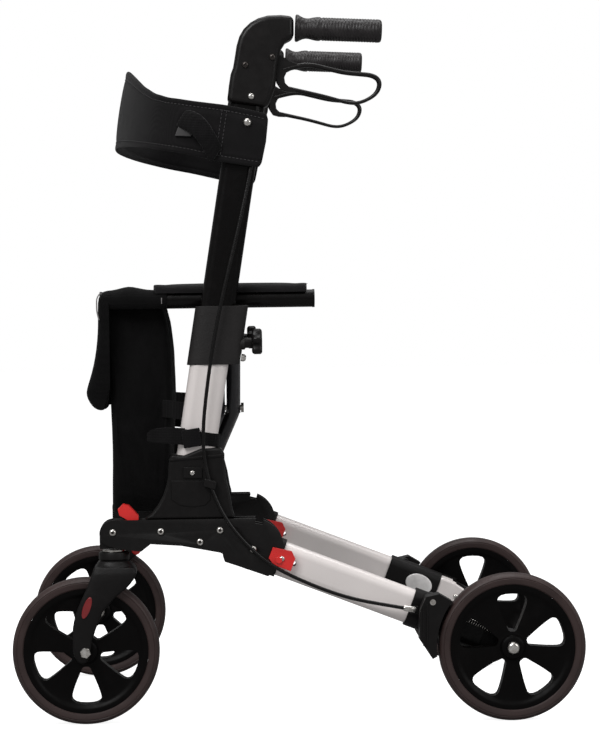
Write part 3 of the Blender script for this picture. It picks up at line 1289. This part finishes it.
class ROLLATOR_OT_bag(Operator):
    """The hanging bag with its flap, piping and ties"""
    bl_idname = "rollator.bag"
    bl_label = "Bag"

    def execute(self, context):
        low, high = (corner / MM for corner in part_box("bag"))
        pieces = [self.shell(low, high), self.flap(), self.mouth(low, high)]
        names = (("storage_bag", "bag_cloth", ["bag"]), ("bag_flap", "bag_cloth", ()),
                 ("bag_mouth", "webbing", ()))
        piping, ties = self.piping(), self.ties()
        for piece, (name, material, nodes) in zip(pieces, names):
            place(piece, name, "seat", material, "bag_fabric", nodes)
        place(piping, "bag_piping", "seat", "piping_grey", "bag_fabric")
        place(ties, "bag_ties", "seat", "webbing", "bag_fabric")
        for piece in (pieces[0], pieces[2]):
            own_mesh(piece)
        for piece in (pieces[1], piping, ties):
            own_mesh(piece)
        return {"FINISHED"}

    def section(self, z, low, high):
        """Front X, rear X and half width of the bag at a height."""
        front = between(z, ((low.z, -253.0), (370.0, -252.0), (455.0, -254.0), (520.0, -258.0),
                            (high.z, -262.0)))
        rear = between(z, ((low.z, -176.0), (368.0, -171.5), (433.0, -167.5), (500.0, -169.5),
                           (540.0, -172.5), (559.0, -177.0), (high.z, -181.0)))
        half = between(z, ((low.z, high.y - 14.0), (low.z + 20, high.y - 5.0), (430.0, high.y),
                           (high.z, high.y - 1.0)))
        return front, rear, half

    def ring(self, z, low, high, shrink=0.0):
        """The bag's outline at a height, with its belly, folds and puckered sides."""
        front, rear, half = self.section(z, low, high)
        front, rear, half = front + shrink, rear - shrink, half - shrink
        drop = (high.z - z) / (high.z - low.z)
        points, loop = [], []
        corner, arc = 9.0, [radians(90 * k / 8) for k in range(1, 8)]
        wide, deep = 2 * half - 2 * corner, rear - front - 2 * corner
        for s, near, far in ((1, front, rear), (-1, rear, front)):
            loop += [(near, s * (-half + corner + wide * k / 30), -s, 0) for k in range(31)]
            loop += [(near + s * corner * (1 - cos(a)), s * (half - corner * (1 - sin(a))), 0, 0)
                     for a in arc]
            loop += [(near + s * (corner + deep * k / 10), s * half, 0, s) for k in range(11)]
            loop += [(far - s * corner * (1 - sin(a)), s * (half - corner * (1 - cos(a))), 0, 0)
                     for a in arc]
        for x, y, nx, ny in loop:
            belly = (1 - (y / half) ** 2) * 6.0 * sin(pi * min(1.0, drop * 1.1)) * nx * 0.5
            fold = 2.2 * wavy(y / 26.0, z / 60.0, nx) * drop ** 0.5
            pucker = 2.0 * wavy(x / 14.0, z / 40.0, ny) * drop ** 0.5
            points.append((x + belly + fold * nx * (0.5 if nx < 0 else 1.0),
                           y + ny * (pucker - 2.0 * drop * sin(pi * drop)), z))
        return points

    def shell(self, low, high):
        top = high.z - 1.0
        heights = [low.z + 1 + (top - low.z - 1) * k / 36 for k in range(37)]
        rows = [self.ring(z, low, high, 1.0) for z in heights]
        base = self.ring(low.z, low, high, 7.0)
        centre = (self.section(low.z, low, high)[0] + self.section(low.z, low, high)[1]) / 2
        flat = [((x - centre) * 0.55 + centre, y * 0.9, z) for x, y, z in base]
        core = [((x - centre) * 0.08 + centre, y * 0.7, z + 0.5) for x, y, z in base]
        bag = skin([core, flat, base] + rows, closed=True)
        open_mesh(bag)
        bpy.ops.mesh.select_all(action="DESELECT")
        object_mode()
        count = len(base)
        for vertex in bag.data.vertices:
            vertex.select = vertex.index < count and abs(vertex.co.z - (low.z + 0.5) * MM) < 1e-5
        bpy.ops.object.mode_set(mode="EDIT")
        bpy.ops.mesh.select_mode(type="VERT")
        bpy.ops.mesh.edge_face_add()
        close_mesh(bag)
        thickened(bag, 1.6, -1.0)
        return smooth(bag, 50.0)

    def mouth(self, low, high):
        """The hem and zip that run round the top."""
        rows = []
        for z, out in ((high.z - 20.0, 0.2), (high.z - 18.5, 1.4), (high.z - 4.0, 1.5),
                       (high.z - 1.0, 1.2)):
            rows.append(self.ring(z, low, high, 1.0 - out))
        return smooth(thickened(skin(rows, closed=True), 1.2, 0.0), 50.0)

    def flap(self):
        """The cover: over the rails, peaked at the front and hanging down before the bag."""
        path = ((-172.0, 2.0), (-186.0, 6.5), (-200.0, 11.5), (-214.0, 15.5), (-226.0, 18.0),
                (-238.0, 14.5), (-248.0, 12.0), (-260.0, 10.0), (-266.9, 5.0), (-267.2, -12.0),
                (-267.0, -32.0), (-268.5, -56.0), (-272.0, -80.0), (-277.0, -100.0),
                (-282.5, -116.0), (-286.0, -127.0), (-284.0, -136.0), (-278.0, -146.0),
                (-271.0, -151.0), (-263.0, -152.0), (-259.0, -146.0), (-256.0, -134.0),
                (-254.6, -122.0))
        rows = []
        edge = RAIL_Y + COVER_REACH
        for j, (x, rise) in enumerate(path):
            row = []
            free = max(0.0, min(1.0, (j - 8) / 9))
            for k in range(49):
                side = -1 if k < 24 else 1
                t = (k - 24) / 24
                wrap = max(0.0, abs(t) - RAIL_HOLD) / (1.0 - RAIL_HOLD)
                if j >= 8:
                    y = t / RAIL_HOLD * (edge - 8.0)
                    if wrap:
                        y = side * (edge - 8.0 + 8.0 * min(1.0, wrap * 4))
                    y *= 1.0 - 0.09 * max(0.0, min(1.0, (j - 9) / 7))
                    lift = 2.4 * wavy(y / 38.0, rise / 60.0, 1.0) * (1.0 - t ** 6)
                    inside = max(-262.0, min(-252.0, -252.0 + (rise + 121.6) * 0.32))
                    back = min(0.0, x - inside) * wrap
                    row.append((x - back + lift * 0.5 * free, y,
                                RAIL.z + rise + 2.2 * wavy(y / 60.0, 1.0, 0.5) * free))
                elif wrap:
                    turn = radians(150.0) * wrap
                    crest = max(0.0, rise + 1.5 - COVER_REACH) * (1.0 - wrap) ** 2
                    row.append((x, side * (RAIL_Y + COVER_REACH * sin(turn)),
                                RAIL.z + COVER_REACH * cos(turn) + crest))
                else:
                    y = t / RAIL_HOLD * RAIL_Y
                    sink = 7.0 * (1 - (t / RAIL_HOLD) ** 2) ** 1.2
                    row.append((x + 1.4 * wavy(y / 30.0, x / 17.0, 2.0) * (1 - abs(t)), y,
                                RAIL.z + max(COVER_REACH, rise + 1.5) - sink))
            rows.append(row)
        sheet = skin(rows)
        thickened(sheet, 1.8, 0.0)
        return subdivided(sheet, 1)

    def piping(self):
        """Light piping down the cover's two front corners."""
        cords = []
        for sign in (-1, 1):
            y = sign * (RAIL_Y + 13.8)
            cords.append(rod([(-263.0, y, RAIL.z + 11.0), (-268.6, y, RAIL.z + 6.0),
                              (-269.0, y, RAIL.z - 6.0), (-268.6, y, RAIL.z - 17.0),
                              (-266.0, y, RAIL.z - 26.0)], 0.9, fine=4))
            cords.append(rod([(-180.0, sign * (RAIL_Y + 14.6), RAIL.z + 3.0),
                              (-180.0, sign * (RAIL_Y + 15.0), RAIL.z - 1.0),
                              (-180.0, sign * (RAIL_Y + 14.2), RAIL.z - 5.0)], 0.7, fine=3))
        return joined(*cords)

    def ties(self):
        """Webbing from the bag's rear corners towards the inner sides of the uprights."""
        bands = []
        for sign in (-1, 1):
            rows = [[(x, sign * y, z + h) for h in (-12.0, -11.0, 0.0, 11.0, 12.0)]
                    for x, y, z in ((-182.0, 186.0, 426.0), (-173.0, 191.5, 425.0),
                                    (-164.0, 202.0, 424.0), (-154.0, 212.0, 423.0),
                                    (-142.0, 219.0, 422.0), (-128.0, 222.0, 421.0))]
            bands.append(round_edges(thickened(skin(rows), 2.0), 0.4, 2))
        return joined(*bands)


# ---- backrest ----

BAND_TOP = ((-262.0, 908.0), (-236.0, 907.0), (-227.0, 905.0), (-217.0, 891.0), (-208.0, 879.0),
            (-200.0, 869.0), (-185.0, 857.0), (-166.0, 849.5), (-133.0, 844.0), (-88.0, 838.0),
            (-46.0, 829.0), (-26.0, 823.0))
BAND_LOW = ((-262.0, 793.0), (-246.0, 791.0), (-200.0, 783.0), (-138.0, 771.0), (-96.0, 761.0),
            (-40.0, 752.0))
BAND_FOOT = 755.0                                        # height at which the plan is drawn
BAND_ARM = (-40.0, -160.0)                               # where an arm starts and the bow begins
BAND_BOW = 91.0                                          # how far the bow stands out forward


class ROLLATOR_OT_backrest(Operator):
    """The padded backrest band with bound edges, seams and a cane holder"""
    bl_idname = "rollator.backrest"
    bl_label = "Backrest"

    def execute(self, context):
        self.middle = (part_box("backrest")[1] / MM).y - 4.0
        heights = (0.0, 0.035, 0.085, 0.105, 0.125, 0.2, 0.32, 0.44, 0.56, 0.68, 0.8, 0.875,
                   0.895, 0.915, 0.965, 1.0)
        swell = (2.0, 3.0, 2.8, 1.7, 3.0, 3.7, 4.1, 4.2, 4.2, 4.1, 3.7, 3.0, 1.7, 2.8, 3.0, 2.0)
        rows, pins = [], []
        stations = 96
        for j in range(stations + 1):
            outer = [self.spot(j / stations, h, s) for h, s in zip(heights, swell)]
            inner = [self.spot(j / stations, h, -s) for h, s in zip(heights, swell)]
            rows.append(outer + list(reversed(inner)))
        band = skin(rows, closed=True, capped=True)
        for vertex in band.data.vertices:
            x, z = vertex.co.x / MM, vertex.co.z / MM
            foot, top = between(x, BAND_LOW), between(x, BAND_TOP)
            if not 0.14 < (z - foot) / (top - foot) < 0.86 or x > -90.0:
                pins.append(vertex.index)
        swollen(band, pins, 4.0, 20)
        subdivided(band, 1)
        place(band, "back_band", "handle_left", "band_cloth", "backrest_fabric", ["backrest"])
        seams = [self.seam(0.103), self.seam(0.897)]
        for t in (0.075, 0.083):
            seams += [self.upright_seam(t), self.upright_seam(1.0 - t)]
        thread = place(joined(*seams), "band_stitching", "handle_left", "thread_grey",
                       "backrest_fabric")
        holder, tab = self.cane_holder()
        place(holder, "cane_strap", "handle_left", "webbing", "backrest_fabric")
        place(tab, "cane_tab", "handle_left", "tab_grey", "backrest_fabric")
        for piece in (band, thread, holder, tab):
            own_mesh(piece)
        return {"FINISHED"}

    def plan(self, t):
        """Centre line of the band seen from above at its foot, with its outward normal."""
        start, end = BAND_ARM
        arm, turn = start - end, pi / 2 * (self.middle + BAND_BOW) * 0.985
        s = t * (2 * arm + turn)
        if s < arm:
            return start - s, -self.middle, 0.0, -1.0
        if s > arm + turn:
            return end + (s - arm - turn), self.middle, 0.0, 1.0
        a = pi * (s - arm) / turn
        x, y = end - BAND_BOW * sin(a), -self.middle * cos(a)
        nx, ny = -sin(a) / BAND_BOW, -cos(a) / self.middle
        size = hypot(nx, ny)
        return x, y, nx / size, ny / size

    def spot(self, t, share, out):
        """A point on the raked band: t along it, share of its height, out from its middle."""
        x, y, nx, ny = self.plan(t)
        z0 = z1 = BAND_FOOT
        for _ in range(6):
            z0 = between(x + (z0 - BAND_FOOT) * tan(TILT), BAND_LOW)
            z1 = between(x + (z1 - BAND_FOOT) * tan(TILT), BAND_TOP)
        z = z0 + (z1 - z0) * share
        return x + (z - BAND_FOOT) * tan(TILT) + nx * out, y + ny * out, z

    def seam(self, share, out=2.6):
        return stitches([self.spot(0.01 + 0.98 * k / 120, share, out) for k in range(121)], 0.5)

    def upright_seam(self, t):
        return stitches([self.spot(t, 0.12 + 0.76 * k / 8, 4.4) for k in range(9)], 0.5)

    def cane_holder(self):
        """A webbing loop and its tab on the band's left arm."""
        y = self.middle + 4.5
        spots = ((-150.0, 822.0, 0.5), (-140.0, 819.0, 5.0), (-129.0, 813.0, 9.0),
                 (-120.0, 803.0, 11.0), (-113.0, 791.0, 9.5), (-107.0, 780.0, 6.0),
                 (-101.0, 770.0, 1.0))
        rows = []
        for x, z, out in spots:
            rows.append([(x - 8.0, -(y + out), z - 13.0), (x - 2.5, -(y + out + 1.5), z - 4.0),
                         (x + 2.5, -(y + out + 1.5), z + 4.0), (x + 8.0, -(y + out), z + 11.0)])
        loop = subdivided(thickened(skin(rows), 2.0, 0.0), 1)
        tab = block(((-158.0, 796.5), (-152.0, 812.0), (-147.0, 823.0), (-143.5, 823.5),
                     (-131.0, 816.0), (-136.0, 795.5)), y - 0.5, y + 3.0, 1.0, 3)
        return loop, tab


# ---- stage ----

CAMERA_AT = (-0.1136, -3.9756, 0.5679)
CAMERA_TURN = (radians(-1.860), radians(-1.341), radians(-0.780))   # yaw, pitch, roll
CAMERA_LENS = 134.0


class ROLLATOR_OT_stage(Operator):
    """Pale floor, soft lights and the camera"""
    bl_idname = "rollator.stage"
    bl_label = "Stage"

    def execute(self, context):
        choose()
        bpy.ops.mesh.primitive_plane_add(size=40.0, location=(0, 0, 0))
        floor = bpy.context.object
        floor.name = "studio_floor"
        pale = Finish("studio_white", (0.30, 0.30, 0.30), 0.9, specular=0.0)
        pale.bump(pale.noise(3.0), 0.0005, 0.1)
        self.seen(pale.tree, pale.shader.outputs["BSDF"], 0.88, 0.5)
        floor.data.materials.append(pale.material)
        world = bpy.data.worlds.new("studio")
        world.use_nodes = True
        tree = world.node_tree
        dim = tree.nodes["Background"]
        dim.inputs["Color"].default_value = (1.0, 1.0, 1.0, 1.0)
        dim.inputs["Strength"].default_value = 0.32
        bright = tree.nodes.new("ShaderNodeBackground")
        bright.inputs["Color"].default_value = (1.0, 1.0, 1.0, 1.0)
        bright.inputs["Strength"].default_value = 1.0
        path = tree.nodes.new("ShaderNodeLightPath")
        blend = tree.nodes.new("ShaderNodeMixShader")
        tree.links.new(path.outputs["Is Camera Ray"], blend.inputs[0])
        tree.links.new(dim.outputs[0], blend.inputs[1])
        tree.links.new(bright.outputs[0], blend.inputs[2])
        tree.links.new(blend.outputs[0], tree.nodes["World Output"].inputs["Surface"])
        context.scene.world = world
        for name, spot, size, power in (
                ("key_light", (-1.6, -2.6, 2.9), 1.8, 88.0),
                ("fill_light", (2.4, -2.2, 1.8), 1.6, 26.0),
                ("top_light", (0.2, 0.3, 3.4), 2.4, 60.0)):
            choose()
            bpy.ops.object.light_add(type="AREA", location=spot)
            lamp = bpy.context.object
            lamp.name = name
            lamp.data.size = size
            lamp.data.energy = power
            aim = Vector((0.0, 0.0, 0.45)) - Vector(spot)
            lamp.rotation_euler = aim.to_track_quat("-Z", "Y").to_euler()
        self.camera(context)
        context.scene.view_settings.view_transform = "Standard"
        return {"FINISHED"}

    def seen(self, tree, shaded, glow, albedo):
        """Shows the floor pale and evenly lit, while it lights the object only softly."""
        emit = tree.nodes.new("ShaderNodeEmission")
        emit.inputs["Strength"].default_value = glow
        matte = tree.nodes.new("ShaderNodeBsdfDiffuse")
        matte.inputs["Color"].default_value = (albedo, albedo, albedo, 1.0)
        both = tree.nodes.new("ShaderNodeAddShader")
        path = tree.nodes.new("ShaderNodeLightPath")
        blend = tree.nodes.new("ShaderNodeMixShader")
        tree.links.new(emit.outputs[0], both.inputs[0])
        tree.links.new(matte.outputs[0], both.inputs[1])
        tree.links.new(path.outputs["Is Camera Ray"], blend.inputs[0])
        tree.links.new(shaded, blend.inputs[1])
        tree.links.new(both.outputs[0], blend.inputs[2])
        tree.links.new(blend.outputs[0], tree.nodes["Material Output"].inputs["Surface"])

    def camera(self, context):
        yaw, pitch, roll = CAMERA_TURN
        ahead = Vector((-sin(yaw) * cos(pitch), cos(yaw) * cos(pitch), sin(pitch)))
        right = Vector((cos(yaw), sin(yaw), 0.0))
        up = right.cross(ahead)
        turned_right = right * cos(roll) + up * sin(roll)
        turned_up = up * cos(roll) - right * sin(roll)
        choose()
        bpy.ops.object.camera_add(location=CAMERA_AT)
        camera = bpy.context.object
        axes = Matrix((turned_right, turned_up, -ahead)).transposed()
        camera.matrix_world = Matrix.Translation(CAMERA_AT) @ axes.to_4x4()
        camera.data.lens = CAMERA_LENS
        camera.data.sensor_width = 36.0
        camera.data.clip_end = 100.0
        context.scene.camera = camera


OPERATORS = (ROLLATOR_OT_finishes, ROLLATOR_OT_wheels, ROLLATOR_OT_forks,
             ROLLATOR_OT_side_frames, ROLLATOR_OT_legs, ROLLATOR_OT_handles,
             ROLLATOR_OT_cables, ROLLATOR_OT_seat, ROLLATOR_OT_bag, ROLLATOR_OT_backrest,
             ROLLATOR_OT_stage)


class ROLLATOR_PT_panel(Panel):
    """Lists the operators and the sizes and colours they use"""
    bl_idname = "ROLLATOR_PT_panel"
    bl_label = "Rollator"
    bl_space_type = "VIEW_3D"
    bl_region_type = "UI"
    bl_category = "Rollator"

    def draw(self, context):
        for operator in OPERATORS:
            self.layout.operator(operator.bl_idname)
        for group in (context.scene.rollator_sizes, context.scene.rollator_colours):
            box = self.layout.box()
            for name in group.__annotations__:
                box.prop(group, name)


CLASSES = (RollatorSizes, RollatorColours, *OPERATORS, ROLLATOR_PT_panel)


def register():
    for kind in CLASSES:
        bpy.utils.register_class(kind)
    bpy.types.Scene.rollator_sizes = PointerProperty(type=RollatorSizes)
    bpy.types.Scene.rollator_colours = PointerProperty(type=RollatorColours)


def unregister():
    del bpy.types.Scene.rollator_colours
    del bpy.types.Scene.rollator_sizes
    for kind in reversed(CLASSES):
        bpy.utils.unregister_class(kind)


def main():
    register()
    for operator in OPERATORS:
        group, name = operator.bl_idname.split(".")
        getattr(getattr(bpy.ops, group), name)()


if __name__ == "__main__":
    main()
